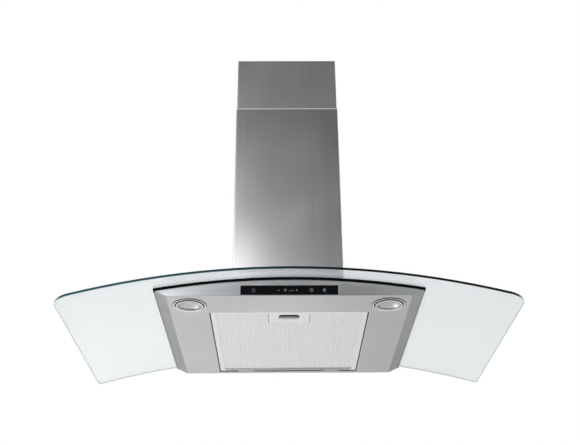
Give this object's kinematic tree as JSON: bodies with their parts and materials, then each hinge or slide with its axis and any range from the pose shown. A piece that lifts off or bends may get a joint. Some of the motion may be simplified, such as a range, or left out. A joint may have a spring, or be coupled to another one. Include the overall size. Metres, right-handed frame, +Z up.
{
  "type": "wall-mounted curved-glass range hood",
  "caption": "Wall-hung kitchen range hood with an arched glass canopy, shallow brushed steel body, black touch strip, round lamps, grease filter and telescopic chimney",
  "frame": {"origin": "midway between the two hanging slots in the back of the chassis, on the wall plane", "axes": "+X to the viewer's right along the width, +Y from the room into the wall, +Z up"},
  "size_m": [0.898, 0.51, 0.7779],
  "materials": {
    "canopy_glass": "clear toughened sheet with ground, dark teal edges",
    "black_seal": "matt black sealing strip",
    "foam": "closed-cell foam, matt",
    "stainless": "brushed stainless sheet, satin",
    "galvanised": "zinc-coated sheet, dull with a faint spangle",
    "zinc_steel": "bright zinc plate",
    "bright_steel": "ground steel",
    "lamination_steel": "stacked laminations, lightly oiled",
    "copper": "enamelled copper wire",
    "cast_aluminium": "die-cast, fine grain",
    "aluminium_sheet": "rolled aluminium sheet and net, satin",
    "chrome_trim": "bright pressed trim ring",
    "reflector": "metallised dish",
    "lamp_glass": "clear lens, lightly frosted",
    "gloss_black": "gloss black touch strip with pale printed icons",
    "black_plastic": "moulded, fine matt grain",
    "wheel_plastic": "moulded, dark grey",
    "box_plastic": "moulded, light grey",
    "white_plastic": "moulded, white",
    "board_green": "lacquered circuit board"
  },
  "bodies": {
    "hood": {"glass_canopy": "canopy_glass", "glass_gasket": "black_seal", "glass_grommets": "black_plastic", "duct_gasket": "foam", "chassis_gasket": "foam", "body_shell": "stainless", "body_lid": "galvanised", "support_bars": "galvanised", "chassis_bolts": "zinc_steel", "chassis_nuts": "zinc_steel", "control_fascia": "gloss_black", "control_tray": "black_plastic", "control_board": "board_green", "touch_pads": "foam", "lamp_clips": "zinc_steel", "lower_chimney": "stainless", "chimney_clips": "galvanised", "chassis": "galvanised", "chassis_cover": "galvanised", "case_screws": "zinc_steel", "scroll_left": "black_plastic", "scroll_right": "black_plastic", "inlet_guard_left": "zinc_steel", "inlet_guard_right": "zinc_steel", "motor_case": "zinc_steel", "motor_end_cap": "zinc_steel", "motor_bearings": "bright_steel", "motor_stator": "lamination_steel", "motor_windings": "copper", "motor_bracket": "galvanised", "electronics_box": "box_plastic", "electronics_lid": "box_plastic", "power_board": "board_green", "motor_capacitor": "white_plastic", "cable_gland": "black_plastic", "exhaust_spigot": "black_plastic", "lamp_bezel_left": "chrome_trim", "lamp_lens_left": "lamp_glass", "lamp_reflector_left": "reflector", "lamp_module_left": "white_plastic", "lamp_bezel_right": "chrome_trim", "lamp_lens_right": "lamp_glass", "lamp_reflector_right": "reflector", "lamp_module_right": "white_plastic"},
    "upper_chimney": {"upper_chimney": "stainless", "chimney_bracket": "galvanised", "chimney_screws": "zinc_steel"},
    "filter": {"filter_frame": "aluminium_sheet", "filter_face": "aluminium_sheet", "filter_core": "aluminium_sheet", "filter_back": "aluminium_sheet", "filter_handle": "aluminium_sheet", "latch_springs": "zinc_steel"},
    "latch": {"filter_latch": "stainless"},
    "fan": {"impeller": "wheel_plastic", "motor_rotor": "cast_aluminium", "motor_shaft": "bright_steel"},
    "flap_left": {"damper_flap_left": "black_plastic"},
    "flap_right": {"damper_flap_right": "black_plastic"}
  },
  "joints": [
    {"name": "upper_chimney_slide", "type": "slide", "parent": "hood", "child": "upper_chimney", "axis": [0, 0, 1], "range_m": [-0.14, 0.32]},
    {"name": "filter_tilt", "type": "hinge", "parent": "hood", "child": "filter", "pos_m": [0, -0.011, -0.2656], "axis": [1, 0, 0], "range_deg": [0, 90]},
    {"name": "latch_slide", "type": "slide", "parent": "filter", "child": "latch", "axis": [0, 1, 0], "range_m": [0, 0.006], "stiffness_N_per_m": 150, "springref_m": -0.004, "deforming": ["latch_springs"]},
    {"name": "impeller_spin", "type": "hinge", "parent": "hood", "child": "fan", "pos_m": [0, -0.095, -0.118], "axis": [1, 0, 0], "continuous": true},
    {"name": "flap_left_swing", "type": "hinge", "parent": "hood", "child": "flap_left", "pos_m": [-0.005, -0.095, 0.0541], "axis": [0, 1, 0], "range_deg": [0, 75]},
    {"name": "flap_right_swing", "type": "hinge", "parent": "hood", "child": "flap_right", "pos_m": [0.005, -0.095, 0.0541], "axis": [0, -1, 0], "range_deg": [0, 75]}
  ]
}
